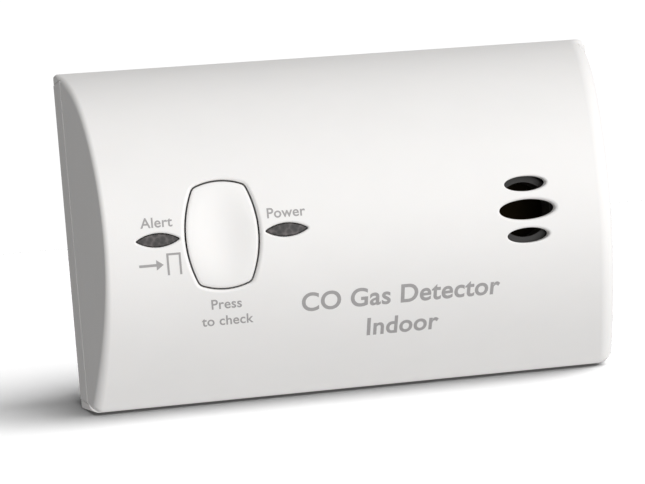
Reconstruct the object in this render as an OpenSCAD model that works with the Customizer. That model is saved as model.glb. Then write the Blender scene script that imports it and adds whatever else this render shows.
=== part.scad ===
/* [Body] */
// Overall width, left end to right end at the back
body_w = 115; // [114:1:124]
// Overall height, standing on its base
body_h = 70; // [69:0.5:72]
// Overall depth, from the back to the crown of the front
body_d = 38.5; // [38.5:0.5:42]
// Thickness of the front cover
wall_t = 1.8; // [1.6:0.1:2]
// Angle by which each end leans inwards towards the front, in degrees
end_lean = 14.8; // [10:0.1:15]
// Depth of the side strips of the rear housing
strip_d = 7.5; // [6:0.5:9]

/* [Controls] */
// Centre of the test button, left of the middle
button_x = -26.1; // [-27:0.1:-25]
// Widest width of the test button
button_w = 13.1; // [12:0.1:14]
// Tallest height of the test button
button_h = 19.6; // [18:0.1:20]
// Travel of the test button
button_travel = 0.8; // [0.3:0.1:1]
// Centre of the alarm lens
alarm_x = -37.8; // [-39:0.1:-37.5]
// Centre of the power lens
power_x = -14.3; // [-15:0.1:-13]
// Width of each lens
lens_w = 7.9; // [7:0.1:8.5]
// Height of each lens
lens_h = 2.4; // [2:0.1:2.6]

/* [Horn and vents] */
// Centre of the horn and of the vents above it
horn_x = 31.1; // [30:0.1:32]
// Width of the middle vent
vent_w = 10.8; // [9:0.1:11.5]
// Height of the middle vent
vent_h = 3.8; // [3:0.05:3.9]
// Distance between two vents
vent_pitch = 4.85; // [4.8:0.05:5.2]
// Radius of the horn
horn_r = 12; // [11:0.5:12]

/* [Battery] */
// Diameter of one AA cell
cell_dia = 14.2; // [13.5:0.1:14.3]
// Length of one AA cell, terminal included
cell_len = 50.5; // [49.5:0.1:50.8]

/* [Wall mounting] */
// Distance between the two keyholes
keyhole_pitch = 84; // [82:1:86]
// Radius of each keyhole's round entry
keyhole_r = 4.2; // [3.5:0.1:4.3]

/* [Hidden] */

$fn = 64;

// Every depth below is measured from the flat back towards the front
back_y = body_d / 2;
mid_z = body_h / 2;
feature_z = mid_z - 0.9;
seam = 0.15;
play = 0.3;

// Side profile: a flat back, a flat base to stand on, and a crowned front that rolls over at the top
crown_drop = 25.1;
top_roll = 10.4;
base_fullness = 0.15;
crown_steps = 64;

// Rear housing
plate_t = 2;
boss_r = 3.4;
column_r = 3;
column_x = 48;
column_z = 7;
screw_r = 1.3;
screw_head_r = 2.4;
board_post_r = 2.8;
post_x = 43;
post_z = 21;
keyhole_z = 38;
keyhole_slot = 8;
keyhole_slot_r = 2.1;

// Battery bay
cell_gap = 0.3;
cell_pitch = cell_dia + cell_gap;
cell_d = 2.1 + cell_dia / 2;
bay_x = 27.6;
bay_wall = 1.6;
bay_z = 1.5 * cell_pitch + 0.15;
bay_front = cell_d + cell_dia / 2 + 0.3;
bay_skin = 1.2;
contact_t = 0.3;
contact_x = bay_x - 0.15 - contact_t;
bump_h = 0.6;
terminal_h = 1.2;

// Battery door, hung from its top edge
door_t = 1.7;
door_d = 0.1;
door_x = 28;
hinge_r = 2;
hinge_d = door_d + hinge_r;
hinge_z = mid_z + 22.7;
hinge_pin_r = 1.4;
hinge_bore_r = 1.46;
hinge_pin_len = 2.3;
door_low = mid_z - 22.6;

// Circuit board
board_w = 94;
board_h = 49;
board_t = 1.6;
board_d = 18.5;
board_front = board_d + board_t;

// Horn
horn_back = board_front + 0.9;
horn_front = 31.5;
horn_wall = 1.2;
horn_neck_r = 6.4;
horn_mouth_r = 5.2;
horn_neck_front = 35.1;
horn_foot_r = 10.6;
disc_r = 10.7;

// Places of the other parts on the board, in X and Z
sensor_x = 7;
sensor_z = 41;
sensor_r = 7;
sensor_front = 30.6;
chip_x = 0;
chip_z = 20;
chip_w = 7;
chip_pitch = 0.9;
coil_x = 14;
coil_z = 18.5;
coil_r = 3.4;
coil_h = 6;
small_pitch = 3.2;

// Half the width of the body at a depth
function half_width(depth, inset) = body_w / 2 - depth * tan(end_lean) - inset / cos(end_lean);

// Depth of the crown, u being -1 at the base, 0 half way up and 1 at the top
function crown_depth(u) = body_d - (u > 0
    ? crown_drop * u * u + top_roll * pow(u, 8)
    : crown_drop * ((1 + base_fullness) * u * u - base_fullness * pow(u, 4)));

// Points of the crown, from the base up
function crown(inset) = [
    for (i = [0 : crown_steps])
        let (u = 2 * i / crown_steps - 1)
        [back_y - crown_depth(u) + inset, mid_z + u * (mid_z - inset)]
];

// Points of an ellipse
function ellipse(w, h) = [for (i = [0 : 47]) [w / 2 * cos(i * 7.5), h / 2 * sin(i * 7.5)]];

// The outer form of the body, or the same form drawn in by an inset and open at the back
module body_form(inset = 0, past_back = 0) {
    intersection() {
        rotate([90, 0, 90])
            linear_extrude(body_w + 2, center = true)
                polygon(concat(
                    [[back_y + past_back, inset]],
                    crown(inset),
                    [[back_y + past_back, body_h - inset]]
                ));
        linear_extrude(body_h)
            polygon([
                [-half_width(-past_back, inset), back_y + past_back],
                [half_width(-past_back, inset), back_y + past_back],
                [half_width(body_d, inset), -back_y],
                [-half_width(body_d, inset), -back_y]
            ]);
    }
}

// A flat shape given in X and Z, pulled through a range of depths
module slab(from, to) {
    translate([0, back_y - from, 0])
        rotate([90, 0, 0])
            linear_extrude(to - from)
                children();
}

// A round rod along the depth
module rod(x, z, r, from, to) {
    translate([x, back_y - from, z])
        rotate([90, 0, 0])
            cylinder(r = r, h = to - from);
}

// A round rod along the width
module cross_rod(depth, z, r, from, to) {
    translate([from, back_y - depth, z])
        rotate([0, 90, 0])
            cylinder(r = r, h = to - from);
}

// A box given by its centre in X and Z, its size, and a range of depths
module block(x, z, w, h, from, to) {
    slab(from, to)
        translate([x, z])
            square([w, h], center = true);
}

// Pointed oval: two arcs that meet in points at the left and right
module pointed_oval(w, h) {
    arc_r = (w * w + h * h) / (4 * h);
    intersection() {
        translate([0, arc_r - h / 2])
            circle(r = arc_r, $fn = 180);
        translate([0, h / 2 - arc_r])
            circle(r = arc_r, $fn = 180);
    }
}

// Outline of the test button: four arcs that meet in the corners
module barrel_outline(grow = 0) {
    side_r = 21.6;
    end_r = 11.3;
    intersection() {
        translate([side_r - button_w / 2, 0])
            circle(r = side_r + grow, $fn = 180);
        translate([button_w / 2 - side_r, 0])
            circle(r = side_r + grow, $fn = 180);
        translate([0, end_r - button_h / 2])
            circle(r = end_r + grow, $fn = 180);
        translate([0, button_h / 2 - end_r])
            circle(r = end_r + grow, $fn = 180);
    }
}

// One screw along the depth, its head nearest the start
module screw(x, z, head_r, head_t, shank_r, from, length, facing) {
    head_end = from + facing * head_t;
    tip = head_end + facing * length;
    difference() {
        union() {
            rod(x, z, head_r, min(from, head_end), max(from, head_end));
            rod(x, z, shank_r, min(head_end, tip), max(head_end, tip));
        }
        for (turn = [0, 90])
            translate([x, back_y - from, z])
                rotate([0, turn, 0])
                    cube([head_r * 1.3, head_t, 0.5], center = true);
    }
}

// Anything that stands at four corners about the middle
module four_corners(x, z) {
    for (side = [-1, 1])
        for (level = [-1, 1])
            translate([side * x, 0, mid_z + level * z])
                children();
}

// One AA cell, its raised terminal towards the right, or the left when reversed
module cell(row, reversed = false) {
    turn = reversed ? -90 : 90;
    end = contact_x - bump_h;
    translate([0, back_y - cell_d, mid_z + row * cell_pitch])
        rotate([0, turn, 0]) {
            translate([0, 0, end - cell_len])
                cylinder(d = cell_dia, h = cell_len - terminal_h);
            translate([0, 0, end - terminal_h - 0.1])
                cylinder(r = 2.7, h = terminal_h + 0.1);
        }
}

// A tapering coil spring, standing along the width
module coil_spring(row, side) {
    wire_r = 0.35;
    turns = 3;
    per_turn = 20;
    length = 2 * contact_x - bump_h - cell_len - 2 * wire_r;
    rings = [for (i = [0 : turns * per_turn])
        let (f = i / (turns * per_turn))
        let (r = 4.6 - 2.4 * f)
        let (a = 360 * i / per_turn)
        [f * length, r * cos(a), r * sin(a), a]];
    sides = 8;
    points = [for (ring = rings) for (s = [0 : sides - 1])
        let (b = 360 * s / sides)
        [
            ring[0] + wire_r * sin(b),
            ring[1] + wire_r * cos(b) * cos(ring[3]),
            ring[2] + wire_r * cos(b) * sin(ring[3])
        ]];
    last = len(rings) - 1;
    walls = [for (i = [0 : last - 1]) for (s = [0 : sides - 1])
        let (t = (s + 1) % sides)
        [i * sides + s, i * sides + t, (i + 1) * sides + t, (i + 1) * sides + s]];
    first_cap = [for (s = [0 : sides - 1]) sides - 1 - s];
    last_cap = [for (s = [0 : sides - 1]) last * sides + s];
    translate([-side * (contact_x - wire_r), back_y - cell_d, mid_z + row * cell_pitch])
        scale([side, 1, 1])
            polyhedron(points = points, faces = concat(walls, [first_cap, last_cap]));
}

// One contact plate behind one or two cells, with a solder tail to the board
module contact_plate(side, low_row, high_row, tail_row) {
    low = mid_z + low_row * cell_pitch - 5;
    high = mid_z + high_row * cell_pitch + 5;
    x = side * (contact_x + contact_t / 2);
    block(x, (low + high) / 2, contact_t, high - low, 4, 14.5);
    block(x, mid_z + tail_row * cell_pitch, contact_t, 3, 14, board_d);
}

// The raised bump that a cell's terminal touches
module contact_bump(side, row) {
    z = mid_z + row * cell_pitch;
    from = side > 0 ? contact_x - bump_h : -contact_x - 0.1;
    cross_rod(cell_d, z, 2, from, from + bump_h + 0.1);
}

// A light-emitting diode with a domed top, on two short legs
module diode(x) {
    dome_r = 1.5;
    base = board_front + 1;
    rod(x, feature_z, dome_r, base, base + 3.8);
    rod(x, feature_z, 1.9, base, base + 0.8);
    translate([x, back_y - base - 3.8, feature_z])
        sphere(r = dome_r);
    for (s = [-1, 1])
        block(x + s * 0.9, feature_z, 0.5, 0.5, board_front, base + 0.2);
}

// A lens set in the front cover, with a light guide that reaches back to its diode
module lens(x) {
    intersection() {
        slab(35, body_d + 1)
            translate([x, feature_z])
                pointed_oval(lens_w, lens_h);
        body_form(0.2);
    }
    block(x, feature_z, lens_w + 2.4, lens_h + 2.2, 34.8, 36.2);
    block(x, feature_z, 4, 1.8, 27, 34.9);
}

// A wound or canned part standing on the board
module canned_part(x, z, r, height) {
    rod(x, z, r, board_front, board_front + height);
}

module front_cover() {
    color("whitesmoke")
        difference() {
            union() {
                difference() {
                    body_form();
                    body_form(wall_t, 1);
                    block(0, mid_z, body_w + 2, body_h - 2 * wall_t, -1, strip_d + seam);
                }
                intersection() {
                    four_corners(column_x, mid_z - column_z)
                        rod(0, 0, column_r, boss_r + 0.25, body_d);
                    body_form(wall_t - 0.2);
                }
            }
            four_corners(column_x, mid_z - column_z)
                rod(0, 0, screw_r + 0.06, 0, 12);
            slab(28, body_d + 1)
                translate([button_x, feature_z])
                    barrel_outline(play);
            for (x = [alarm_x, power_x])
                slab(28, body_d + 1)
                    translate([x, feature_z])
                        pointed_oval(lens_w + 0.5, lens_h + 0.3);
            for (i = [-1 : 1])
                slab(28, body_d + 1)
                    translate([horn_x, feature_z + i * vent_pitch])
                        polygon(i == 0 ? ellipse(vent_w, vent_h) : ellipse(vent_w * 0.75, vent_h * 0.75));
        }
}

// A box round the three cells, open at the back and closed towards the board
module battery_bay() {
    difference() {
        block(0, mid_z, 2 * (bay_x + bay_wall), 2 * (bay_z + bay_wall), 1.5, bay_front + bay_skin);
        block(0, mid_z, 2 * bay_x, 2 * bay_z, -1, bay_front);
        for (side = [-1, 1])
            block(side * (bay_x - 0.4), mid_z, 1.2, 34, 12, board_d);
    }
}

// Blocks beside the door that hold its hinge pins
module hinge_lugs() {
    for (side = [-1, 1])
        block(side * (door_x + play + 1.5), hinge_z, 3, 8.4, 0, 5.4);
}

module rear_housing() {
    color("gainsboro")
        difference() {
            union() {
                intersection() {
                    body_form();
                    union() {
                        block(0, mid_z, body_w + 2, body_h - 2 * wall_t - 2 * seam, 0, plate_t);
                        difference() {
                            block(0, mid_z, body_w + 2, body_h - 2 * wall_t - 2 * seam, 0, strip_d);
                            body_form(wall_t, 1);
                        }
                    }
                }
                four_corners(column_x, mid_z - column_z)
                    rod(0, 0, boss_r, 0, boss_r + 0.1);
                four_corners(post_x, post_z)
                    rod(0, 0, board_post_r, 0, board_d);
                battery_bay();
                hinge_lugs();
            }
            // Door opening, with room for the door's round top edge
            block(0, (door_low + hinge_z + hinge_r) / 2, 2 * (door_x + play),
                hinge_z + hinge_r - door_low + 2 * play, -1, plate_t + 0.1);
            cross_rod(hinge_d, hinge_z, hinge_r + play, -door_x - play, door_x + play);
            for (side = [-1, 1])
                cross_rod(hinge_d, hinge_z, hinge_bore_r,
                    side * (door_x + 1.5) - 1.6, side * (door_x + 1.5) + 1.6);
            // Finger notch under the door
            block(0, door_low - 1.4, 13, 3, -1, 1.3);
            // Screws and keyholes
            four_corners(column_x, mid_z - column_z) {
                rod(0, 0, screw_r + 0.15, -1, 5);
                rod(0, 0, screw_head_r + 0.3, -1, 1.9);
            }
            four_corners(post_x, post_z)
                rod(0, 0, 1.06, 9, board_d + 1);
            for (side = [-1, 1]) {
                rod(side * keyhole_pitch / 2, keyhole_z, keyhole_r, -1, 3);
                rod(side * keyhole_pitch / 2, keyhole_z + keyhole_slot, keyhole_slot_r, -1, 3);
                block(side * keyhole_pitch / 2, keyhole_z + keyhole_slot / 2,
                    2 * keyhole_slot_r, keyhole_slot, -1, 3);
            }
        }
}

module housing_screws() {
    color("silver")
        four_corners(column_x, mid_z - column_z)
            screw(0, 0, screw_head_r, 1.6, screw_r, 0.3, 8, 1);
}

module battery_door() {
    color("gainsboro")
        difference() {
            union() {
                block(0, (door_low + hinge_z) / 2, 2 * door_x, hinge_z - door_low,
                    door_d, door_d + door_t);
                cross_rod(hinge_d, hinge_z, hinge_r, -door_x, door_x);
                cross_rod(hinge_d, hinge_z, hinge_pin_r,
                    -door_x - hinge_pin_len, door_x + hinge_pin_len);
                block(0, door_low + 1.6, 6, 0.9, 1.5, 4.6);
            }
            block(0, mid_z, 44.4, 30.4, -1, door_d + 0.2);
        }
}

module rating_label() {
    color("silver")
        block(0, mid_z, 44, 30, door_d + 0.02, door_d + 0.2);
}

module test_button() {
    dish_r = 30;
    face = body_d - 0.35;
    color("whitesmoke") {
        difference() {
            intersection() {
                slab(32, body_d + 1)
                    translate([button_x, feature_z])
                        barrel_outline();
                body_form(0.35);
            }
            translate([button_x, back_y - face + 0.9 - dish_r, feature_z])
                sphere(r = dish_r, $fn = 128);
        }
        block(button_x, feature_z, button_w + 2.6, button_h + 2, 31.4, 32.7);
        rod(button_x, feature_z, 2.5, board_front + 7, 31.6);
    }
}

module switch_body() {
    color("dimgray")
        difference() {
            union() {
                block(button_x, feature_z, 6.2, 6.2, board_front, board_front + 3.5);
                for (side = [-1, 1])
                    for (level = [-1, 1])
                        block(button_x + side * 3.6, feature_z + level * 2.2, 1, 0.8,
                            board_front, board_front + 0.3);
            }
            rod(button_x, feature_z, 1.76, board_front + 1.2, board_front + 4);
        }
}

module switch_plunger() {
    color("black")
        rod(button_x, feature_z, 1.7, board_front + 2.2, board_front + 6.95);
}

module alarm_lens() {
    color("darkred")
        lens(alarm_x);
}

module power_lens() {
    color("darkgreen")
        lens(power_x);
}

module main_board() {
    color("darkgreen")
        difference() {
            block(0, mid_z, board_w, board_h, board_d, board_front);
            four_corners(post_x, post_z)
                rod(0, 0, 1.3, board_d - 1, board_front + 1);
        }
}

module board_screws() {
    color("silver")
        four_corners(post_x, post_z)
            screw(0, 0, 2.1, 1.4, 1, board_front + 1.4, 8, -1);
}

module alarm_led() {
    color("red")
        diode(alarm_x);
}

module power_led() {
    color("lime")
        diode(power_x);
}

module horn_housing() {
    color("black")
        difference() {
            union() {
                rod(horn_x, feature_z, horn_r, horn_back, horn_front);
                rod(horn_x, feature_z, horn_neck_r, horn_front - 1, horn_neck_front);
                for (a = [90, 210, 330])
                    rod(horn_x + horn_foot_r * cos(a), feature_z + horn_foot_r * sin(a), 1.2,
                        board_front, horn_back + 0.5);
            }
            rod(horn_x, feature_z, horn_r - horn_wall, horn_back - 1.2, horn_back + 1.5);
            rod(horn_x, feature_z, 9.4, horn_back, horn_back + 3);
            rod(horn_x, feature_z, horn_r - horn_wall, horn_back + 2.5, horn_front - 1.3);
            rod(horn_x, feature_z, horn_mouth_r, horn_front - 3, horn_neck_front + 1);
        }
}

module horn_gasket() {
    color("dimgray")
        difference() {
            rod(horn_x, feature_z, disc_r, horn_back + 0.4, horn_back + 1.3);
            rod(horn_x, feature_z, 9.2, horn_back, horn_back + 2);
        }
}

module horn_disc() {
    color("goldenrod")
        rod(horn_x, feature_z, disc_r, horn_back + 1.3, horn_back + 1.5);
}

module horn_ceramic() {
    color("ivory")
        rod(horn_x, feature_z, 7, horn_back + 1.1, horn_back + 1.3);
}

module horn_contacts() {
    color("silver") {
        for (s = [-1, 1])
            rod(horn_x + s * 3, feature_z, 0.4, board_front, horn_back + 1.1);
        rod(horn_x, feature_z - 8.1, 0.4, board_front, horn_back + 1.3);
    }
}

// Booster coil that drives the horn
module horn_coil() {
    color("darkorange") {
        canned_part(coil_x, coil_z, coil_r, 1);
        canned_part(coil_x, coil_z, coil_r - 0.7, coil_h - 0.5);
        rod(coil_x, coil_z, coil_r, board_front + coil_h - 1, board_front + coil_h);
    }
}

module sensor_body() {
    color("lightgray")
        rod(sensor_x, sensor_z, sensor_r, board_front + 1, sensor_front);
}

module sensor_cap() {
    color("white")
        difference() {
            rod(sensor_x, sensor_z, sensor_r - 0.8, sensor_front, sensor_front + 0.8);
            rod(sensor_x, sensor_z, 1.5, sensor_front - 0.6, sensor_front + 1.4);
        }
}

module sensor_pins() {
    color("gold")
        for (a = [90, 210, 330])
            rod(sensor_x + 4.5 * cos(a), sensor_z + 4.5 * sin(a), 0.5, board_front, board_front + 1);
}

module microcontroller() {
    color("black") {
        block(chip_x, chip_z, chip_w, chip_w, board_front + 0.1, board_front + 1.3);
        for (side = [-1, 1])
            for (i = [-3 : 3])
                block(chip_x + side * (chip_w + 1) / 2, chip_z + i * chip_pitch, 1.2, 0.4,
                    board_front, board_front + 0.5);
    }
}

module capacitors() {
    color("slategray") {
        canned_part(-6, 50, 3.15, 8);
        canned_part(-14, 51, 2.5, 7);
    }
}

module small_parts() {
    color("tan")
        for (i = [0 : 5]) {
            block(-12 - small_pitch * i, 16, 0.9, 1.7, board_front, board_front + 0.5);
            block(24 + small_pitch * i, 17 - (i % 2) * 2.8, 1.7, 0.9, board_front, board_front + 0.5);
        }
}

module left_contacts() {
    color("lightsteelblue") {
        contact_plate(-1, -1, 0, -1);
        contact_plate(-1, 1, 1, 1);
        contact_bump(-1, 0);
    }
}

module right_contacts() {
    color("lightsteelblue") {
        contact_plate(1, -1, -1, -1);
        contact_plate(1, 0, 1, 1);
        contact_bump(1, -1);
        contact_bump(1, 1);
    }
}

module contact_springs() {
    color("silver") {
        coil_spring(-1, 1);
        coil_spring(0, -1);
        coil_spring(1, 1);
    }
}

module lower_cell() {
    color("darkgoldenrod")
        cell(-1);
}

module middle_cell() {
    color("darkgoldenrod")
        cell(0, true);
}

module upper_cell() {
    color("darkgoldenrod")
        cell(1);
}

front_cover();
rear_housing();
housing_screws();
battery_door();
rating_label();
test_button();
switch_body();
switch_plunger();
alarm_lens();
power_lens();
main_board();
board_screws();
alarm_led();
power_led();
horn_housing();
horn_gasket();
horn_disc();
horn_ceramic();
horn_contacts();
horn_coil();
sensor_body();
sensor_cap();
sensor_pins();
microcontroller();
capacitors();
small_parts();
left_contacts();
right_contacts();
contact_springs();
lower_cell();
middle_cell();
upper_cell();
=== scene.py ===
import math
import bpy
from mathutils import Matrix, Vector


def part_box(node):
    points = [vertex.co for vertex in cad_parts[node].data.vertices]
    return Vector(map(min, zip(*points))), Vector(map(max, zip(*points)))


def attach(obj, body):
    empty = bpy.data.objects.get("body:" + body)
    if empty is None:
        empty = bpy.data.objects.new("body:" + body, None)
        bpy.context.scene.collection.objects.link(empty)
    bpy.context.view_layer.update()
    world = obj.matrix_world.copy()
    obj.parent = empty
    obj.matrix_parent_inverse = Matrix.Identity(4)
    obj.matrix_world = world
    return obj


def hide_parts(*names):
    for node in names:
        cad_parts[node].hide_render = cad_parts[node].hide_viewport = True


bl_info = {
    "name": "Carbon Monoxide Detector",
    "version": (1, 0, 0),
    "blender": (4, 5, 0),
    "location": "View3D > Sidebar > Detector",
    "description": "Builds the finished surfaces of a carbon monoxide detector round its packed frame",
    "category": "Object",
}

import bmesh
import bpy
from bpy.props import FloatProperty, FloatVectorProperty, PointerProperty, StringProperty
from bpy.types import Operator, Panel, PropertyGroup
from mathutils import Matrix, Vector

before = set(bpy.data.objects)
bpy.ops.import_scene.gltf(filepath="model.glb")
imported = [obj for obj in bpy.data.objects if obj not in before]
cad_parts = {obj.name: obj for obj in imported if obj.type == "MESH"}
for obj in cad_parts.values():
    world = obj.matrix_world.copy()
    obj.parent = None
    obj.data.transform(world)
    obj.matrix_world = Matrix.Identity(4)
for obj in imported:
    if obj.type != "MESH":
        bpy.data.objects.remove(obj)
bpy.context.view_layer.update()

MM = 0.001
CASE_LOW, CASE_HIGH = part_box("front_cover")
BACK = CASE_HIGH.y
FRONT = CASE_LOW.y
HEIGHT = CASE_HIGH.z
MIDDLE = HEIGHT / 2
HALF_WIDTH = CASE_HIGH.x
BUTTON_LOW, BUTTON_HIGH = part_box("test_button")
ALARM_LOW, ALARM_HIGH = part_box("alarm_lens")
POWER_LOW, POWER_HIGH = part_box("power_lens")
HORN_LOW, HORN_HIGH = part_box("horn_housing")
BUTTON_X = (BUTTON_LOW.x + BUTTON_HIGH.x) / 2
ALARM_X = (ALARM_LOW.x + ALARM_HIGH.x) / 2
POWER_X = (POWER_LOW.x + POWER_HIGH.x) / 2
HORN_X = (HORN_LOW.x + HORN_HIGH.x) / 2
FEATURE_Z = (ALARM_LOW.z + ALARM_HIGH.z) / 2


def length_setting(name, text, default):
    """A length that a user can change."""
    return FloatProperty(
        name=name, description=text, default=default, min=0, subtype="DISTANCE", unit="LENGTH"
    )


def angle_setting(name, text, default):
    """An angle that a user can change, with its default in degrees."""
    return FloatProperty(name=name, description=text, default=math.radians(default), subtype="ANGLE")


def colour_setting(name, text, default):
    """A colour that a user can change."""
    return FloatVectorProperty(
        name=name, description=text, default=default, size=3, min=0, max=1, subtype="COLOR"
    )


class CaseSettings(PropertyGroup):
    """Shape and colour of the case."""

    wall: length_setting("Wall", "Thickness of the front cover", 1.8 * MM)
    crown_drop: length_setting("Crown drop", "How far the front falls back at its base", 25.1 * MM)
    top_roll: length_setting("Top roll", "How much further the front rolls back at its top", 10.4 * MM)
    base_fullness: FloatProperty(
        name="Base fullness",
        description="Share by which the crown eases out towards its base",
        default=0.15,
        min=0,
        max=0.15,
    )
    end_lean: angle_setting("End lean", "Lean of each end towards the front", 14.8)
    strip: length_setting("Side strip", "Depth of the rear housing's side strips", 7.5 * MM)
    seam: length_setting("Seam", "Gap between the cover and the side strip", 0.42 * MM)
    left_round: length_setting("Left rounding", "Radius between the left end and the crown", 1.1 * MM)
    low_round: length_setting("Low rounding", "The same radius at the foot of the left end", 2.0 * MM)
    right_round: length_setting("Right rounding", "Radius between the right end and the crown", 3.4 * MM)
    top_round: length_setting("Top rounding", "Radius where the crown meets the top", 3 * MM)
    back_round: length_setting("Back rounding", "Radius of the edges at the back", 0.8 * MM)
    foot_round: length_setting("Foot rounding", "Radius of the front edge of the base", 0.6 * MM)
    foot_gap: length_setting("Foot gap", "Height of the shadow gap under the front of the base", 0.5 * MM)
    foot_depth: length_setting("Foot depth", "Depth of the base that touches the ground", 9.5 * MM)
    colour: colour_setting("Case colour", "Colour of the moulded case", (0.83, 0.82, 0.81))
    rear_colour: colour_setting("Rear colour", "Colour of the rear housing and its door", (0.80, 0.79, 0.78))


class ControlSettings(PropertyGroup):
    """Sizes and colours of the button, the lenses, the vents and the print."""

    button_w: length_setting("Button width", "Widest width of the test button", 13.1 * MM)
    button_h: length_setting("Button height", "Tallest height of the test button", 19.6 * MM)
    dish: length_setting("Dish", "Depth of the hollow in the button's face", 0.9 * MM)
    gap: length_setting("Button gap", "Gap between the button and the cover", 0.3 * MM)
    lens_w: length_setting("Lens width", "Width of each lens", 7.9 * MM)
    lens_h: length_setting("Lens height", "Height of each lens", 2.4 * MM)
    vent_w: length_setting("Vent width", "Width of the middle vent", 10.8 * MM)
    vent_h: length_setting("Vent height", "Height of the middle vent", 3.8 * MM)
    vent_pitch: length_setting("Vent pitch", "Distance between two vents", 4.85 * MM)
    button_colour: colour_setting("Button colour", "Colour of the test button", (0.85, 0.84, 0.83))
    lens_colour: colour_setting("Lens colour", "Colour of the smoked lenses", (0.012, 0.010, 0.010))
    print_colour: colour_setting("Print colour", "Colour of the grey print", (0.36, 0.35, 0.35))


class StageSettings(PropertyGroup):
    """Camera and light."""

    eye: FloatVectorProperty(
        name="Eye",
        description="Place of the camera",
        default=(-0.03307, -0.23778, 0.03521),
        size=3,
        subtype="TRANSLATION",
    )
    yaw: angle_setting("Yaw", "Turn of the camera to the right", 6.548)
    pitch: angle_setting("Pitch", "Upward tilt of the camera", -1.027)
    roll: angle_setting("Roll", "Turn of the camera about its own line", 4.777)
    lens: FloatProperty(name="Lens", description="Focal length in millimetres", default=66.98, min=10)
    key: FloatProperty(
        name="Key light", description="Power of the soft key light in watts", default=1.25, min=0
    )
    bright_side: FloatProperty(
        name="Bright side", description="World light from the front right", default=1.29, min=0
    )
    dim_side: FloatProperty(name="Dim side", description="World light from the back left", default=-0.12)
    floor: FloatProperty(
        name="Floor light",
        description="Strength of the light that only the floor catches",
        default=32,
        min=0,
    )
    floor_softness: FloatProperty(
        name="Floor softness", description="Spread of that light in degrees", default=50, min=0
    )


# Outlines and surfaces of the case


def crown_depth(z, settings):
    """Distance of the front surface from the back at a height."""
    u = (z - MIDDLE) / MIDDLE
    if u > 0:
        return BACK - FRONT - settings.crown_drop * u**2 - settings.top_roll * u**8
    fall = (1 + settings.base_fullness) * u**2 - settings.base_fullness * u**4
    return BACK - FRONT - settings.crown_drop * fall


def crown_normal(z, settings):
    """Outward normal of the front surface at a height."""
    step = 0.05 * MM
    slope = (skin_y(z + step, settings) - skin_y(z - step, settings)) / (2 * step)
    return Vector((0, -1, slope)).normalized()


def skin_y(z, settings):
    """Y of the front surface at a height."""
    return BACK - crown_depth(z, settings)


def arc_points(start, corner, end, radius, steps):
    """A rounding of a corner between two directions, as points from the first side to the second."""
    to_start = (start - corner).normalized()
    to_end = (end - corner).normalized()
    half = to_start.angle(to_end) / 2
    reach = radius / math.tan(half)
    centre = corner + (to_start + to_end).normalized() * (radius / math.sin(half))
    first = corner + to_start * reach - centre
    last = corner + to_end * reach - centre
    turn = first.angle(last)
    points = []
    for i in range(steps + 1):
        a = turn * i / steps
        points.append(centre + (first * math.sin(turn - a) + last * math.sin(a)) / math.sin(turn))
    return points, reach


def rounded_path(points, corners):
    """A closed path with roundings at some of its points. corners gives a radius and steps for a point's number."""
    path = []
    count = len(points)
    for i, point in enumerate(points):
        if i not in corners:
            path.append((i, point))
            continue
        radius, steps = corners[i]
        bend, reach = arc_points(points[i - 1], point, points[(i + 1) % count], radius, steps)
        while path and path[-1][0] not in corners and (path[-1][1] - point).length < reach:
            path.pop()
        path += [(i, p) for p in bend]
    keep = []
    for i, point in path:
        near = [c for c in corners if c != i and i not in corners]
        blocked = False
        for c in near:
            radius, _ = corners[c]
            _, reach = arc_points(points[c - 1], points[c], points[(c + 1) % count], radius, 1)
            blocked = blocked or (point - points[c]).length < reach
        if not blocked:
            keep.append(point)
    return keep


def case_profile(settings, steps=200):
    """Side outline of the case in Y and Z, from the lower back corner round the front to the upper one."""
    crown = []
    for i in range(steps + 1):
        z = HEIGHT * (1 - math.cos(math.pi * i / steps)) / 2
        crown.append(Vector((skin_y(z, settings), z)))
    step = BACK - settings.foot_depth
    gap = settings.foot_gap
    front_low = crown[0].x + 0.5 * gap
    foot = [Vector((BACK, 0)), Vector((step, 0)), Vector((step, gap)), Vector((front_low, gap))]
    rising = [point for point in crown if point.y > gap + 0.5 * MM]
    points = foot + rising + [Vector((BACK, HEIGHT))]
    corners = {
        0: (settings.back_round, 5),
        3: (settings.foot_round, 5),
        len(points) - 2: (settings.top_round, 8),
        len(points) - 1: (settings.back_round, 5),
    }
    return rounded_path(points, corners)


def outward_normals(points):
    """Normals of a closed path that runs anticlockwise when the first axis points right."""
    normals = []
    count = len(points)
    for i in range(count):
        along = points[(i + 1) % count] - points[i - 1]
        normals.append(Vector((along.y, -along.x)).normalized())
    return normals


def evenly(points, count):
    """A closed path of evenly spaced points along the given one."""
    lengths = [0.0]
    for i, point in enumerate(points):
        lengths.append(lengths[-1] + (points[(i + 1) % len(points)] - point).length)
    result = []
    k = 0
    for i in range(count):
        want = lengths[-1] * i / count
        while lengths[k + 1] < want:
            k += 1
        share = (want - lengths[k]) / (lengths[k + 1] - lengths[k])
        result.append(points[k].lerp(points[(k + 1) % len(points)], share))
    return result


def oval(w, h, count=96):
    """An ellipse."""
    turns = [2 * math.pi * i / count for i in range(count)]
    return [Vector((w / 2 * math.cos(a), h / 2 * math.sin(a))) for a in turns]


def pointed_oval(w, h, count=96):
    """Two arcs that meet at the left and right, with the tips just rounded."""
    radius = (w * w + h * h) / (4 * h)
    reach = math.asin(w / 2 / radius)
    upper = []
    steps = 40
    for i in range(steps):
        a = reach * (1 - 2 * i / steps)
        upper.append(Vector((radius * math.sin(a), radius * math.cos(a) - radius + h / 2)))
    points = upper + [-p for p in upper]
    tip_radius = 0.22 * MM
    tips = {0: (tip_radius, 6), steps: (tip_radius, 6)}
    return evenly(rounded_path(points, tips), count)


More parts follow.
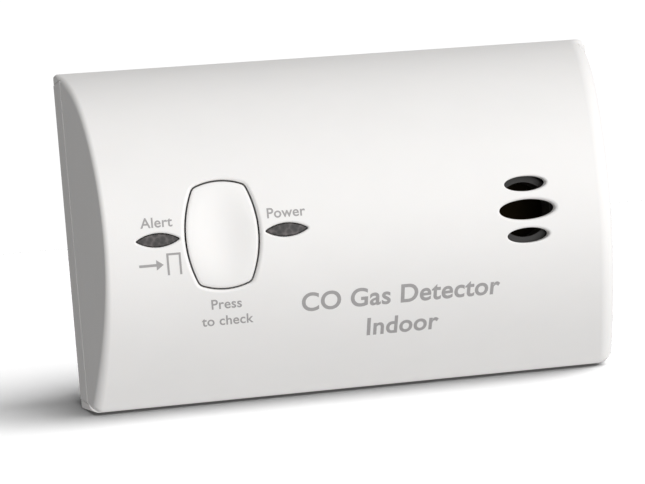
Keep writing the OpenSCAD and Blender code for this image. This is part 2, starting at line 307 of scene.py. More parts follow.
def barrel(w, h, corner, count=128):
    """Four arcs with rounded corners: full sides and a full top and base."""
    side_r = 21.6 * MM
    end_r = 11.3 * MM
    x = w / 3
    # Find by halving where a side arc meets an end arc.
    for _ in range(60):
        z = math.sqrt(end_r**2 - x**2) - end_r + h / 2
        x = 0.5 * x + 0.5 * (math.sqrt(side_r**2 - z**2) - side_r + w / 2)
    points = []
    steps = 24
    for i in range(steps):
        t = -z + 2 * z * i / steps
        points.append(Vector((math.sqrt(side_r**2 - t * t) - side_r + w / 2, t)))
    for i in range(steps):
        t = x - 2 * x * i / steps
        points.append(Vector((t, math.sqrt(end_r**2 - t * t) - end_r + h / 2)))
    points += [-p for p in points]
    corners = {n * steps: (corner, 8) for n in range(4)}
    return evenly(rounded_path(points, corners), count)


# Mesh building


def loft(rings, caps=True):
    """A mesh through closed rings of equally many points."""
    shape = bmesh.new()
    made = [[shape.verts.new(p) for p in ring] for ring in rings]
    count = len(made[0])
    for a, b in zip(made, made[1:]):
        for i in range(count):
            j = (i + 1) % count
            shape.faces.new((a[i], a[j], b[j], b[i]))
    if caps:
        shape.faces.new(list(reversed(made[0])))
        shape.faces.new(made[-1])
    bmesh.ops.recalc_face_normals(shape, faces=shape.faces)
    return shape


def to_object(name, shape, smooth=True):
    """Turns a bmesh into an object in the scene."""
    mesh = bpy.data.meshes.new(name)
    shape.to_mesh(mesh)
    shape.free()
    if smooth:
        mesh.shade_smooth()
    else:
        mesh.shade_flat()
    item = bpy.data.objects.new(name, mesh)
    bpy.context.scene.collection.objects.link(item)
    return item


def apply_modifiers(item):
    """Applies every modifier to an object's own mesh."""
    graph = bpy.context.evaluated_depsgraph_get()
    mesh = bpy.data.meshes.new_from_object(item.evaluated_get(graph))
    item.modifiers.clear()
    item.data = mesh


def cut(item, tools):
    """Subtracts the tools from an object and removes them."""
    for tool in tools:
        step = item.modifiers.new("cut", "BOOLEAN")
        step.operation = "DIFFERENCE"
        step.solver = "EXACT"
        step.object = tool
        apply_modifiers(item)
        bpy.data.objects.remove(tool)


def smooth_by_angle(item, degrees):
    """Smooth shading that keeps edges sharper than an angle."""
    mesh = item.data
    mesh.shade_smooth()
    mesh.set_sharp_from_angle(angle=math.radians(degrees))


def true_normals(item, settings):
    """Gives the crown and the ends their exact normals, so that wide faces shade evenly."""
    mesh = item.data
    lean = settings.end_lean
    close = math.cos(math.radians(2))
    near = math.cos(math.radians(30))
    skin = 0.03 * MM
    normals = [Vector(corner.vector) for corner in mesh.corner_normals]
    exact = {}
    for face in mesh.polygons:
        end = Vector((math.copysign(math.cos(lean), face.normal.x), -math.sin(lean), 0))
        middle = face.center
        on_crown = abs(middle.y - skin_y(middle.z, settings)) < skin
        if face.normal.dot(end) > close:
            for index in face.vertices:
                exact[index] = end
        elif on_crown and face.normal.dot(crown_normal(middle.z, settings)) > close:
            for index in face.vertices:
                exact.setdefault(index, crown_normal(mesh.vertices[index].co.z, settings))
    for face in mesh.polygons:
        for loop in face.loop_indices:
            normal = exact.get(mesh.loops[loop].vertex_index)
            if normal and face.normal.dot(normal) > near:
                normals[loop] = normal
    mesh.normals_split_custom_set(normals)


def box_shape(low, high):
    """A box as a bmesh."""
    corners = ((low[0], low[2]), (high[0], low[2]), (high[0], high[2]), (low[0], high[2]))
    return loft([[(x, y, z) for x, z in corners] for y in (low[1], high[1])])


def end_x(y, settings, inset=0.0):
    """Half the width of the case at a depth."""
    lean = settings.end_lean
    return HALF_WIDTH - (BACK - y) * math.tan(lean) - inset / math.cos(lean)


def end_rings(path, normals, settings, radius_at):
    """Rings that round an end over from the side outline to its flat face."""
    lean = math.tan(settings.end_lean)
    arc_steps = 8
    rings = []
    for step in range(arc_steps + 1):
        ring = []
        for point, normal in zip(path, normals):
            out_y = -normal.x
            radius = radius_at(BACK - point.x, point.y)
            slope = -lean * out_y
            centre = end_x(point.x, settings) + slope * radius - radius * math.sqrt(1 + slope * slope)
            a = (math.pi / 2 - math.atan(slope)) * step / arc_steps
            sink = radius * (1 - math.cos(a))
            ring.append((centre + radius * math.sin(a), point.x - out_y * sink, point.y - normal.y * sink))
        rings.append(ring)
    return rings


def eased(value, low, high):
    """Rises smoothly from 0 to 1 between two values."""
    share = min(max((value - low) / (high - low), 0), 1)
    return share * share * (3 - 2 * share)


def case_solid(settings):
    """The outer form of the case with all of its edges rounded."""
    path = case_profile(settings)
    normals = outward_normals([Vector((-p.x, p.y)) for p in path])
    small = settings.foot_gap * 0.9

    def left_radius(depth, height):
        growth = settings.low_round - settings.left_round
        full = settings.left_round + growth * eased(MIDDLE - height, 0, MIDDLE)
        return small + (full - small) * eased(depth, 2 * MM, 9 * MM)

    def right_radius(depth, _height):
        return small + (settings.right_round - small) * eased(depth, 0.5 * MM, 6 * MM)

    right = end_rings(path, normals, settings, right_radius)
    left = [[(-x, y, z) for x, y, z in ring] for ring in end_rings(path, normals, settings, left_radius)]
    return loft(list(reversed(left)) + right)


def cavity_solid(settings):
    """The hollow of the front cover, open past the back."""
    wall = settings.wall
    past = BACK + 2 * MM
    steps = 60
    points = [(past, wall)]
    for i in range(steps + 1):
        u = 2 * i / steps - 1
        outer = skin_y(MIDDLE + u * MIDDLE, settings)
        points.append((outer + wall, MIDDLE + u * (MIDDLE - wall)))
    points.append((past, HEIGHT - wall))
    rings = [[(side * end_x(y, settings, wall), y, z) for y, z in points] for side in (-1, 1)]
    return loft(rings)


def window_cutter(outline, x, z, lip, settings, depth=6 * MM):
    """A tool that cuts a window through the crown and leaves it a rounded lip."""
    normals = outward_normals(outline)
    first = math.radians(12)
    steps = 8
    rings = []
    run_out = 3 * lip
    start_out = lip * (1 - math.sin(first)) + run_out * math.cos(first)
    start_below = lip * (1 - math.cos(first)) - run_out * math.sin(first)
    profile = [(start_out, start_below)]
    for i in range(steps + 1):
        a = first + (math.pi / 2 - first) * i / steps
        profile.append((lip * (1 - math.sin(a)), lip * (1 - math.cos(a))))
    profile.append((0, depth))
    for out, below in profile:
        ring = []
        for point, normal in zip(outline, normals):
            at = point + normal * out
            ring.append((x + at.x, skin_y(z + at.y, settings) + below, z + at.y))
        rings.append(ring)
    top = [(p[0], FRONT - 2 * MM, p[2]) for p in rings[0]]
    return loft([top] + rings)


def faced_plug(outline, x, z, recess, edge, hollow, length, settings):
    """A part that fills a window: a face that follows the crown, a rounded edge, and straight sides."""
    normals = outward_normals(outline)
    wide = max(p.x for p in outline)
    tall = max(p.y for p in outline)
    rings = []
    edge_steps = 6
    face_steps = 16

    def ring_at(shift, scale, below):
        ring = []
        for point, normal in zip(outline, normals):
            at = (point + normal * shift) * scale
            away = min((at.x / wide) ** 2 + (at.y / tall) ** 2, 1)
            dish = hollow * (1 - away) ** 2
            ring.append((x + at.x, skin_y(z + at.y, settings) + recess + below + dish, z + at.y))
        return ring

    for i in range(1, face_steps + 1):
        rings.append(ring_at(-edge, i / face_steps, 0))
    for i in range(1, edge_steps + 1):
        a = math.pi / 2 * i / edge_steps
        rings.append(ring_at(-edge * (1 - math.sin(a)), 1, edge * (1 - math.cos(a))))
    rear = FRONT + length
    rings.append([(p[0], rear, p[2]) for p in rings[-1]])
    return loft(rings)


def rounded_block(x, z, w, h, front, rear, corner):
    """A block along the depth with rounded corners and slightly rounded ends."""
    signs = ((-1, -1), (1, -1), (1, 1), (-1, 1))
    points = [Vector((side * w / 2, end * h / 2)) for side, end in signs]
    outline = rounded_path(points, {i: (corner, 5) for i in range(4)})
    soft = corner * 0.5
    rings = []
    for y, shrink in ((front, soft), (front + soft, 0), (rear - soft, 0), (rear, soft)):
        ring = []
        for p in outline:
            ring.append((x + p.x * (1 - 2 * shrink / w), y, z + p.y * (1 - 2 * shrink / h)))
        rings.append(ring)
    return loft(rings)


def joined(name, shapes):
    """One object of several closed shapes."""
    whole = bmesh.new()
    for shape in shapes:
        mesh = bpy.data.meshes.new("part")
        shape.to_mesh(mesh)
        shape.free()
        whole.from_mesh(mesh)
        bpy.data.meshes.remove(mesh)
    return to_object(name, whole)


# Materials


class Finish:
    """A node material built up from a principled shader."""

    def __init__(self, name, colour, roughness, metallic=0.0):
        self.material = bpy.data.materials.new(name)
        self.material.use_nodes = True
        self.tree = self.material.node_tree
        self.shader = self.tree.nodes["Principled BSDF"]
        self.place = self.add("ShaderNodeTexCoord").outputs["Object"]
        self.colour = colour
        self.roughness = roughness
        self.set("Base Color", (*colour, 1))
        self.set("Roughness", roughness)
        self.set("Metallic", metallic)

    def set(self, socket, value):
        self.shader.inputs[socket].default_value = value
        return self

    def add(self, kind, **inputs):
        node = self.tree.nodes.new(kind)
        for key, value in inputs.items():
            node.inputs[key].default_value = value
        return node

    def link(self, a, b):
        self.tree.links.new(a, b)

    def noise(self, size, detail=2.0, stretch=None):
        """Noise whose features have a size in metres."""
        node = self.add("ShaderNodeTexNoise", Scale=1 / size, Detail=detail, Roughness=0.55)
        place = self.place
        if stretch:
            turn = self.add("ShaderNodeMapping", Scale=stretch)
            self.link(place, turn.inputs["Vector"])
            place = turn.outputs["Vector"]
        self.link(place, node.inputs["Vector"])
        return node.outputs["Fac"]

    def ramp(self, value, stops):
        node = self.add("ShaderNodeValToRGB")
        node.color_ramp.elements[0].position = stops[0][0]
        node.color_ramp.elements[0].color = (*stops[0][1], 1)
        node.color_ramp.elements[1].position = stops[-1][0]
        node.color_ramp.elements[1].color = (*stops[-1][1], 1)
        for position, colour in stops[1:-1]:
            node.color_ramp.elements.new(position).color = (*colour, 1)
        self.link(value, node.inputs["Fac"])
        return node.outputs["Color"]

    def mottle(self, size, amount, stretch=None):
        """Slight variation of the colour."""
        low = [max(c * (1 - amount), 0) for c in self.colour]
        high = [min(c * (1 + amount), 1) for c in self.colour]
        colour = self.ramp(self.noise(size, 3, stretch), [(0.3, low), (0.7, high)])
        self.link(colour, self.shader.inputs["Base Color"])
        return self

    def gloss_range(self, size, low, high, stretch=None):
        """Variation of the roughness."""
        node = self.add("ShaderNodeMapRange")
        node.inputs["To Min"].default_value = low
        node.inputs["To Max"].default_value = high
        self.link(self.noise(size, 3, stretch), node.inputs["Value"])
        self.link(node.outputs["Result"], self.shader.inputs["Roughness"])
        return self

    def grain(self, size, height, strength=1.0, detail=2.0, stretch=None):
        """A fine relief, as height in metres."""
        bump = self.add("ShaderNodeBump", Strength=strength, Distance=height)
        self.link(self.noise(size, detail, stretch), bump.inputs["Height"])
        self.link(bump.outputs["Normal"], self.shader.inputs["Normal"])
        return self


def moulded(name, colour, roughness=0.5, relief=0.012):
    """Moulded plastic with a fine spark-eroded texture."""
    finish = Finish(name, colour, roughness)
    finish.mottle(9 * MM, 0.008)
    finish.gloss_range(0.6 * MM, roughness - 0.05, roughness + 0.07)
    finish.grain(0.22 * MM, relief * MM, 0.9, 3)
    finish.set("Specular IOR Level", 0.42)
    finish.set("Subsurface Weight", 0.06)
    finish.set("Subsurface Radius", (1.2 * MM, 1.0 * MM, 0.8 * MM))
    return finish.material


def smooth_plastic(name, colour, roughness=0.3):
    """Plastic with a plain satin surface."""
    finish = Finish(name, colour, roughness)
    finish.mottle(3 * MM, 0.05)
    finish.gloss_range(0.8 * MM, roughness - 0.06, roughness + 0.08)
    finish.grain(0.35 * MM, 0.004 * MM, 0.7)
    return finish.material


def plated(name, colour, roughness=0.28):
    """Plated or drawn metal with faint draw lines."""
    finish = Finish(name, colour, roughness, 1.0)
    finish.mottle(1.5 * MM, 0.06)
    finish.gloss_range(0.5 * MM, roughness - 0.08, roughness + 0.12, (1, 6, 1))
    finish.grain(0.3 * MM, 0.003 * MM, 0.6, 3, (1, 8, 1))
    return finish.material


def wear(item, material):
    """Gives an object one material in every slot."""
    slots = item.data.materials
    if len(slots) == 0:
        slots.append(material)
    for slot in item.material_slots:
        slot.material = material
    return item


def finish_node(node, material, bevel=0.0):
    """A better material, and rounded edges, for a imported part."""
    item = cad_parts[node]
    wear(item, material)
    if bevel:
        step = item.modifiers.new("rounded_edges", "BEVEL")
        step.width = bevel
        step.segments = 2
        step.limit_method = "ANGLE"
        step.angle_limit = math.radians(40)
        step.harden_normals = True
        item.data.shade_smooth()
        item.data.set_sharp_from_angle(angle=math.radians(35))
    return item


class DETECTOR_OT_front_cover(Operator):
    """Build the crowned front cover with its windows and vents"""

    bl_idname = "detector.front_cover"
    bl_label = "Front cover"

    def execute(self, context):
        case = context.scene.detector_case
        controls = context.scene.detector_controls
        item = to_object("cover_shell", case_solid(case))
        notch_low = (-HALF_WIDTH - MM, BACK - case.strip - case.seam, case.wall)
        notch_high = (HALF_WIDTH + MM, BACK + MM, HEIGHT - case.wall)
        tools = [to_object("tool", cavity_solid(case)), to_object("tool", box_shape(notch_low, notch_high))]
        button = barrel(controls.button_w + 2 * controls.gap, controls.button_h + 2 * controls.gap, 1.5 * MM)
        tools.append(to_object("tool", window_cutter(button, BUTTON_X, FEATURE_Z, 0.7 * MM, case)))
        for x in (ALARM_X, POWER_X):
            outline = pointed_oval(controls.lens_w + 0.3 * MM, controls.lens_h + 0.2 * MM)
            tools.append(to_object("tool", window_cutter(outline, x, FEATURE_Z, 0.45 * MM, case)))
        for i in (-1, 0, 1):
            share = 1 if i == 0 else 0.75
            outline = oval(controls.vent_w * share, controls.vent_h * share)
            lip = 0.6 * MM if i == 0 else 0.4 * MM
            vent_z = FEATURE_Z + i * controls.vent_pitch
            tools.append(to_object("tool", window_cutter(outline, HORN_X, vent_z, lip, case)))
        cut(item, tools)
        smooth_by_angle(item, 32)
        true_normals(item, case)
        wear(item, moulded("case_plastic", case.colour))
        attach(item, "housing")
        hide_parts("front_cover")
        return {"FINISHED"}


class DETECTOR_OT_test_button(Operator):
    """Build the dished test button with its flange and stem"""

    bl_idname = "detector.test_button"
    bl_label = "Test button"

    def execute(self, context):
        case = context.scene.detector_case
        controls = context.scene.detector_controls
        outline = barrel(controls.button_w, controls.button_h, 1.2 * MM)
        cap = faced_plug(outline, BUTTON_X, FEATURE_Z, 0.35 * MM, 0.5 * MM, controls.dish, 6 * MM, case)
        size = BUTTON_HIGH - BUTTON_LOW
        flange_front = FRONT + 5.8 * MM
        flange_rear = FRONT + 7.1 * MM
        flange = rounded_block(BUTTON_X, FEATURE_Z, size.x, size.z, flange_front, flange_rear, 1.2 * MM)
        stem = rounded_block(BUTTON_X, FEATURE_Z, 5 * MM, 5 * MM, FRONT + 7 * MM, BUTTON_HIGH.y, 2.2 * MM)
        item = joined("button_cap", [cap, flange, stem])
        smooth_by_angle(item, 40)
        wear(item, moulded("button_plastic", controls.button_colour, 0.42, 0.006))
        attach(item, "button")
        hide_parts("test_button")
        return {"FINISHED"}


def smoked(name, colour):
    """Dark smoked plastic, with painted glints where light catches the light guide's facets behind it."""
    finish = Finish(name, colour, 0.12)
    # Painted glints: each Voronoi cell is dark in its middle and brightens towards its edges, as if light caught
    # the facets behind the lens.
    cells = finish.add("ShaderNodeTexVoronoi", Scale=1 / (0.9 * MM))
    finish.link(finish.place, cells.inputs["Vector"])
    lit = [c * 7 + 0.015 for c in colour]
    mid = [c * 2.5 for c in colour]
    painted_facet_glints = finish.ramp(cells.outputs["Distance"], [(0.15, colour), (0.5, mid), (0.85, lit)])
    finish.link(painted_facet_glints, finish.shader.inputs["Base Color"])
    finish.gloss_range(0.8 * MM, 0.08, 0.22)
    finish.grain(0.5 * MM, 0.02 * MM, 0.5)
    finish.set("Coat Weight", 0.6)
    finish.set("Coat Roughness", 0.06)
    return finish.material


class DETECTOR_OT_lenses(Operator):
    """Build the two smoked lenses with their light guides"""

    bl_idname = "detector.lenses"
    bl_label = "Lenses"

    def execute(self, context):
        case = context.scene.detector_case
        controls = context.scene.detector_controls
        material = smoked("smoked_lens", controls.lens_colour)
        flange_front = FRONT + 2.3 * MM
        flange_rear = FRONT + 3.7 * MM
        boxes = {"alarm_lens": (ALARM_LOW, ALARM_HIGH), "power_lens": (POWER_LOW, POWER_HIGH)}
        for node, (low, high) in boxes.items():
            x = (low.x + high.x) / 2
            outline = pointed_oval(controls.lens_w, controls.lens_h)
            head = faced_plug(outline, x, FEATURE_Z, 0.5 * MM, 0.22 * MM, -0.12 * MM, 2.6 * MM, case)
            size = high - low
            flange = rounded_block(x, FEATURE_Z, size.x, size.z, flange_front, flange_rear, 0.6 * MM)
            guide = rounded_block(x, FEATURE_Z, 4 * MM, 1.8 * MM, FRONT + 3.6 * MM, high.y, 0.5 * MM)
            item = joined(node.replace("lens", "window"), [head, flange, guide])
            smooth_by_angle(item, 40)
            wear(item, material)
            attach(item, "housing")
            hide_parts(node)
        return {"FINISHED"}


class DETECTOR_OT_legends(Operator):
    """Print the short grey legends on the cover"""

    bl_idname = "detector.legends"
    bl_label = "Legends"

    words: StringProperty(name="Title", description="Generic title on the cover", default="CO Gas Detector")
    second: StringProperty(name="Second line", description="Generic words under the title", default="Indoor")

    def execute(self, context):
        case = context.scene.detector_case
        controls = context.scene.detector_controls
        finish = Finish("grey_ink", controls.print_colour, 0.6)
        ink = finish.mottle(0.5 * MM, 0.05).grain(0.22 * MM, 0.008 * MM).material
        large, bold = 3.62, 0.02
        small, medium = 1.9, 0.014
        # Name, words, place across and up in millimetres, height and boldness of the letters.
        legends = (
            ("title_print", self.words, 6.7, 20.3, large, bold),
            ("title_second_line", self.second, 7.2, 14.2, large, bold),
            ("alarm_legend", "Alert", ALARM_X / MM, 37.4, small, medium),
            ("power_legend", "Power", POWER_X / MM, 37.4, small, medium),
            ("test_legend", "Press", BUTTON_X / MM - 0.2, 21.4, small, medium),
            ("test_second_line", "to check", BUTTON_X / MM - 0.2, 18.2, small, medium),
        )
        for name, words, x, z, tall, weight in legends:
            shape = self.letters(name, words, tall * MM, weight)
            self.lay(name, shape, x * MM, z * MM, case, ink)
        self.lay("way_out_legend", self.way_out(), ALARM_X, 29.6 * MM, case, ink)
        return {"FINISHED"}

    def letters(self, name, words, tall, weight):
        """A line of letters as flat faces, centred on its own middle."""
        curve = bpy.data.curves.new(name, "FONT")
        curve.body = words
        curve.align_x = "CENTER"
        curve.offset = weight
        curve.space_character = 1.04
        text = bpy.data.objects.new(name, curve)
        context = bpy.context
        context.scene.collection.objects.link(text)
        context.view_layer.update()
        mesh = bpy.data.meshes.new_from_object(text.evaluated_get(context.evaluated_depsgraph_get()))
        bpy.data.objects.remove(text)
        shape = bmesh.new()
        shape.from_mesh(mesh)
        bpy.data.meshes.remove(mesh)
        bmesh.ops.remove_doubles(shape, verts=shape.verts, dist=0.0005)
        cap_height = 0.729
        bmesh.ops.translate(shape, vec=(0, -cap_height / 2, 0), verts=shape.verts)
        bmesh.ops.scale(shape, vec=(tall / cap_height, tall / cap_height, 1), verts=shape.verts)
        return shape

    def way_out(self):
        """A small sign of an arrow that points to an open doorway."""
        shape = bmesh.new()
        post = 0.38 * MM
        left, right, low, high = 1.3 * MM, 3.9 * MM, -2 * MM, 2 * MM
        outlines = [
            ((left, low), (left + post, low), (left + post, high - post), (left, high - post)),
            ((right - post, low), (right, low), (right, high - post), (right - post, high - post)),
            ((left, high - post), (right, high - post), (right, high), (left, high)),
        ]
        stem, head, tip = 0.24 * MM, 0.95 * MM, 0.7 * MM
        tail, neck = -3.7 * MM, -0.6 * MM
        outlines.append(((tail, -stem), (neck, -stem), (neck, stem), (tail, stem)))
        outlines.append(((neck, -head), (tip, 0), (neck, head)))
        for outline in outlines:
            shape.faces.new([shape.verts.new((x, y, 0)) for x, y in outline])
        return shape

    def lay(self, name, shape, x, z, case, ink):
        """Lays flat faces on the crown as raised ink."""
        band = 0.3 * MM
        raised_by = 0.025 * MM
        sunk_by = 0.02 * MM
        level = min(v.co.y for v in shape.verts) + band
        high = max(v.co.y for v in shape.verts)
        while level < high:
            whole = shape.verts[:] + shape.edges[:] + shape.faces[:]
            bmesh.ops.bisect_plane(shape, geom=whole, plane_co=(0, level, 0), plane_no=(0, 1, 0))
            level += band
        grown = bmesh.ops.extrude_face_region(shape, geom=shape.faces[:])
        raised = {v for v in grown["geom"] if isinstance(v, bmesh.types.BMVert)}
        for vert in shape.verts:
            at = z + vert.co.y
            lift = raised_by if vert in raised else -sunk_by
            vert.co = Vector((x + vert.co.x, skin_y(at, case) - lift, at))
        bmesh.ops.recalc_face_normals(shape, faces=shape.faces)
        item = to_object(name, shape, smooth=False)
        wear(item, ink)
        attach(item, "housing")


class DETECTOR_OT_rear(Operator):
    """Finish the rear housing, its screws, the battery door and the blank label"""

    bl_idname = "detector.rear"
    bl_label = "Rear housing and door"

    def execute(self, context):
        case = context.scene.detector_case
        plastic = moulded("rear_plastic", case.rear_colour, 0.52)
        finish_node("rear_housing", plastic, 0.22 * MM)
        finish_node("battery_door", plastic, 0.18 * MM)
        film = Finish("label_film", (0.62, 0.63, 0.64), 0.35, 0.4)
        film.mottle(6 * MM, 0.04).gloss_range(2 * MM, 0.28, 0.42).grain(0.8 * MM, 0.004 * MM)
        finish_node("rating_label", film.material)
        zinc = plated("zinc_plate", (0.62, 0.62, 0.60))
        finish_node("housing_screws", zinc, 0.12 * MM)
        finish_node("board_screws", zinc, 0.12 * MM)
        return {"FINISHED"}


class DETECTOR_OT_electronics(Operator):
    """Finish the circuit board and what stands on it"""

    bl_idname = "detector.electronics"
    bl_label = "Electronics"

    def execute(self, context):
        black = smooth_plastic("black_plastic", (0.026, 0.024, 0.023), 0.32)
        mask = Finish("solder_mask", (0.010, 0.085, 0.035), 0.3)
        mask.mottle(1.2 * MM, 0.35).grain(0.4 * MM, 0.01 * MM, 0.8, 2, (1, 1, 4)).set("Coat Weight", 0.3)
        finish_node("main_board", mask.material)
        for node in ("horn_housing", "microcontroller", "switch_body", "switch_plunger"):
            finish_node(node, black)
        rubber = Finish("soft_rubber", (0.03, 0.03, 0.03), 0.75).mottle(MM, 0.1).grain(0.3 * MM, 0.01 * MM)
        finish_node("horn_gasket", rubber.material)
        finish_node("horn_disc", plated("dark_brass", (0.030, 0.022, 0.012), 0.5))
        finish_node("horn_ceramic", smooth_plastic("ceramic", (0.72, 0.70, 0.62), 0.4))
        tin = plated("tin_plate", (0.70, 0.70, 0.69))
        for node in ("horn_contacts", "left_contacts", "right_contacts", "contact_springs"):
            finish_node(node, tin)
        finish_node("sensor_pins", plated("gold_plate", (0.85, 0.64, 0.25), 0.2))
        finish_node("sensor_body", smooth_plastic("sensor_plastic", (0.55, 0.55, 0.53), 0.45))
        finish_node("sensor_cap", smooth_plastic("white_cap", (0.80, 0.80, 0.79), 0.5))
        wire = Finish("varnished_wire", (0.45, 0.16, 0.05), 0.3, 0.7)
        wire.mottle(0.4 * MM, 0.2).grain(0.25 * MM, 0.05 * MM, 1, 1, (1, 6, 1))
        finish_node("horn_coil", wire.material)
        finish_node("capacitors", smooth_plastic("sleeve_blue", (0.02, 0.03, 0.10), 0.3))
        finish_node("small_parts", smooth_plastic("chip_ceramic", (0.30, 0.22, 0.14), 0.4))
        for node, colour in (("alarm_led", (0.55, 0.02, 0.02)), ("power_led", (0.03, 0.40, 0.06))):
            tinted = Finish(node + "_resin", colour, 0.15).mottle(MM, 0.1).grain(0.5 * MM, 0.003 * MM)
            tinted.set("Coat Weight", 0.5)
            finish_node(node, tinted.material)
        return {"FINISHED"}


class DETECTOR_OT_cells(Operator):
    """Build the three battery cells with their sleeves and terminals"""

    bl_idname = "detector.cells"
    bl_label = "Battery cells"

    def execute(self, context):
        sleeve = Finish("cell_sleeve", (0.10, 0.13, 0.17), 0.3)
        sleeve.mottle(4 * MM, 0.12).gloss_range(MM, 0.22, 0.36)
        sleeve.grain(0.8 * MM, 0.006 * MM).set("Coat Weight", 0.4)
        band = Finish("cell_band", (0.55, 0.56, 0.58), 0.3, 0.6)
        band.mottle(3 * MM, 0.06).gloss_range(MM, 0.24, 0.36)
        steel = plated("cell_steel", (0.68, 0.68, 0.66), 0.3)
        for node, towards in (("lower_cell", 1), ("middle_cell", -1), ("upper_cell", 1)):
            low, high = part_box(node)
            centre = (low + high) / 2
            radius = (high.z - low.z) / 2
            length = high.x - low.x
            terminal = 1.2 * MM
            nub = 2.6 * MM
            can = length - terminal
            # Place along the cell, radius and material of each ring.
            stations = [
                (0, 3.2 * MM, 2),
                (0, radius - 2.2 * MM, 2),
                (0.25 * MM, radius - 1.7 * MM, 2),
                (0.25 * MM, radius - 0.7 * MM, 0),
                (0.45 * MM, radius - 0.2 * MM, 0),
                (0.9 * MM, radius, 0),
                (can * 0.72, radius, 0),
                (can * 0.722, radius, 1),
                (can - 0.9 * MM, radius, 1),
                (can - 0.4 * MM, radius - 0.2 * MM, 1),
                (can - 0.15 * MM, radius - 0.8 * MM, 2),
                (can - 0.5 * MM, radius - 1.4 * MM, 2),
                (can - 0.5 * MM, nub + 0.6 * MM, 2),
                (can - 0.1 * MM, nub + 0.1 * MM, 2),
                (length - 0.25 * MM, nub, 2),
                (length, nub - 0.3 * MM, 2),
            ]
            sides = 72
            rings = []
            for along, r, _ in stations:
                x = (low.x + along) if towards > 0 else (high.x - along)
                turns = [2 * math.pi * i / sides for i in range(sides)]
                rings.append([(x, centre.y + r * math.cos(a), centre.z + r * math.sin(a)) for a in turns])
            shape = loft(rings)
            shape.faces.ensure_lookup_table()
            for index, face in enumerate(shape.faces):
                ring = index // sides
                face.material_index = stations[ring][2] if ring < len(stations) - 1 else 2
            item = to_object(node.replace("cell", "battery"), shape)
            for material in (sleeve.material, band.material, steel):
                item.data.materials.append(material)
            smooth_by_angle(item, 40)
            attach(item, "housing")
            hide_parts(node)
        return {"FINISHED"}


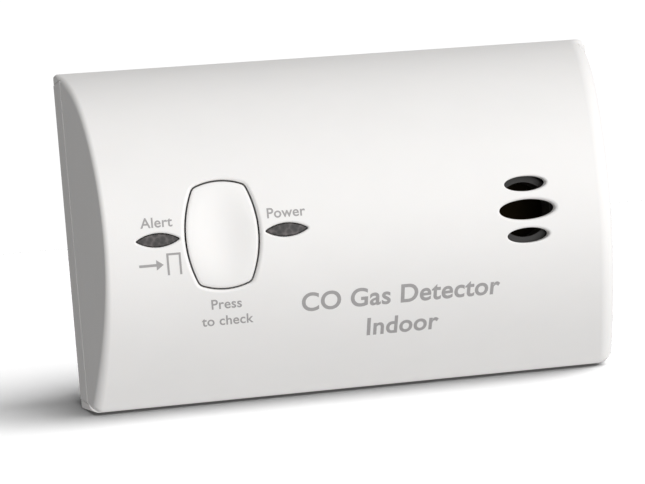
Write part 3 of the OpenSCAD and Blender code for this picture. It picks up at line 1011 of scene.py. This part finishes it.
class DETECTOR_OT_stage(Operator):
    """Set the floor, the camera and the soft studio light"""

    bl_idname = "detector.stage"
    bl_label = "Stage"

    def execute(self, context):
        stage = context.scene.detector_stage
        scene = context.scene
        shape = bmesh.new()
        reach = 6.0
        below = 0.02 * MM
        corners = ((-reach, -reach), (reach, -reach), (reach, reach), (-reach, reach))
        shape.faces.new([shape.verts.new((x, y, -below)) for x, y in corners])
        floor = to_object("floor", shape, smooth=False)
        paper = Finish("floor_paper", (0.13, 0.13, 0.13), 0.9).mottle(0.2, 0.004)
        paper.set("Specular IOR Level", 0.1)
        wear(floor, paper.material)
        floor.visible_diffuse = False
        floor.visible_glossy = False
        floor.visible_shadow = False
        self.camera(scene, stage)
        self.lights(scene, stage, floor)
        return {"FINISHED"}

    def camera(self, scene, stage):
        camera = bpy.data.objects.new("camera", bpy.data.cameras.new("camera"))
        scene.collection.objects.link(camera)
        camera.data.lens = stage.lens
        camera.data.sensor_width = 36
        camera.data.clip_start = 0.01
        turn = Matrix.Rotation(-stage.yaw, 4, "Z") @ Matrix.Rotation(math.pi / 2 + stage.pitch, 4, "X")
        level = Matrix.Translation(Vector(stage.eye)) @ turn
        camera.matrix_world = level @ Matrix.Rotation(-stage.roll, 4, "Z")
        scene.camera = camera

    def lights(self, scene, stage, floor):
        """A soft key from the front right, a sun that only the floor catches, and a tent of light."""
        key = bpy.data.lights.new("key", "AREA")
        key.shape = "RECTANGLE"
        key.size = 0.4
        key.size_y = 0.5
        key.energy = stage.key
        soft_box = bpy.data.objects.new("key", key)
        place = Vector((0.42, -0.44, 0.38))
        aim = Vector((0, 0, 0.03))
        soft_box.location = place
        soft_box.rotation_euler = (aim - place).to_track_quat("-Z", "Y").to_euler()
        scene.collection.objects.link(soft_box)
        sun = bpy.data.lights.new("floor_sun", "SUN")
        sun.angle = math.radians(stage.floor_softness)
        sun.energy = stage.floor
        high = bpy.data.objects.new("floor_sun", sun)
        high.rotation_euler = Vector((-0.40, 0.50, -0.70)).to_track_quat("-Z", "Y").to_euler()
        scene.collection.objects.link(high)
        only_floor = bpy.data.collections.new("lit_floor")
        only_floor.objects.link(floor)
        high.light_linking.receiver_collection = only_floor
        self.tent(scene, stage)

    def tent(self, scene, stage):
        """World light that is bright towards the front right and dim towards the back left."""
        world = bpy.data.worlds.new("studio")
        scene.world = world
        world.use_nodes = True
        tree = world.node_tree
        seen = tree.nodes["Background"]
        seen.inputs["Color"].default_value = (1, 1, 1, 1)
        seen.inputs["Strength"].default_value = 1.05
        around = tree.nodes.new("ShaderNodeBackground")
        around.inputs["Color"].default_value = (1, 0.997, 0.994, 1)
        direction = tree.nodes.new("ShaderNodeTexCoord")
        towards = tree.nodes.new("ShaderNodeVectorMath")
        towards.operation = "DOT_PRODUCT"
        towards.inputs[1].default_value = Vector((0.62, -0.78, 0.0))
        spread = tree.nodes.new("ShaderNodeMapRange")
        spread.inputs["From Min"].default_value = -1
        spread.inputs["From Max"].default_value = 1
        spread.inputs["To Min"].default_value = stage.dim_side
        spread.inputs["To Max"].default_value = stage.bright_side
        path = tree.nodes.new("ShaderNodeLightPath")
        mix = tree.nodes.new("ShaderNodeMixShader")
        tree.links.new(direction.outputs["Generated"], towards.inputs[0])
        tree.links.new(towards.outputs["Value"], spread.inputs["Value"])
        tree.links.new(spread.outputs["Result"], around.inputs["Strength"])
        tree.links.new(path.outputs["Is Camera Ray"], mix.inputs["Fac"])
        tree.links.new(around.outputs["Background"], mix.inputs[1])
        tree.links.new(seen.outputs["Background"], mix.inputs[2])
        tree.links.new(mix.outputs["Shader"], tree.nodes["World Output"].inputs["Surface"])
        scene.view_settings.view_transform = "Standard"


STEPS = (
    DETECTOR_OT_front_cover,
    DETECTOR_OT_test_button,
    DETECTOR_OT_lenses,
    DETECTOR_OT_legends,
    DETECTOR_OT_rear,
    DETECTOR_OT_electronics,
    DETECTOR_OT_cells,
    DETECTOR_OT_stage,
)


SETTINGS = (
    (CaseSettings, "detector_case"),
    (ControlSettings, "detector_controls"),
    (StageSettings, "detector_stage"),
)


class DETECTOR_PT_sidebar(Panel):
    """Settings and steps of the detector"""

    bl_idname = "DETECTOR_PT_sidebar"
    bl_label = "Detector"
    bl_space_type = "VIEW_3D"
    bl_region_type = "UI"
    bl_category = "Detector"

    def draw(self, context):
        layout = self.layout
        for kind, where in SETTINGS:
            column = layout.column(align=True)
            for name in kind.__annotations__:
                column.prop(getattr(context.scene, where), name)
        for step in STEPS:
            layout.operator(step.bl_idname)


def register():
    for group, name in SETTINGS:
        bpy.utils.register_class(group)
        setattr(bpy.types.Scene, name, PointerProperty(type=group))
    for step in STEPS:
        bpy.utils.register_class(step)
    bpy.utils.register_class(DETECTOR_PT_sidebar)


def unregister():
    bpy.utils.unregister_class(DETECTOR_PT_sidebar)
    for step in reversed(STEPS):
        bpy.utils.unregister_class(step)
    for group, name in reversed(SETTINGS):
        delattr(bpy.types.Scene, name)
        bpy.utils.unregister_class(group)


def main():
    """Builds everything in order."""
    register()
    for step in STEPS:
        group, name = step.bl_idname.split(".")
        getattr(getattr(bpy.ops, group), name)()


if __name__ == "__main__":
    main()
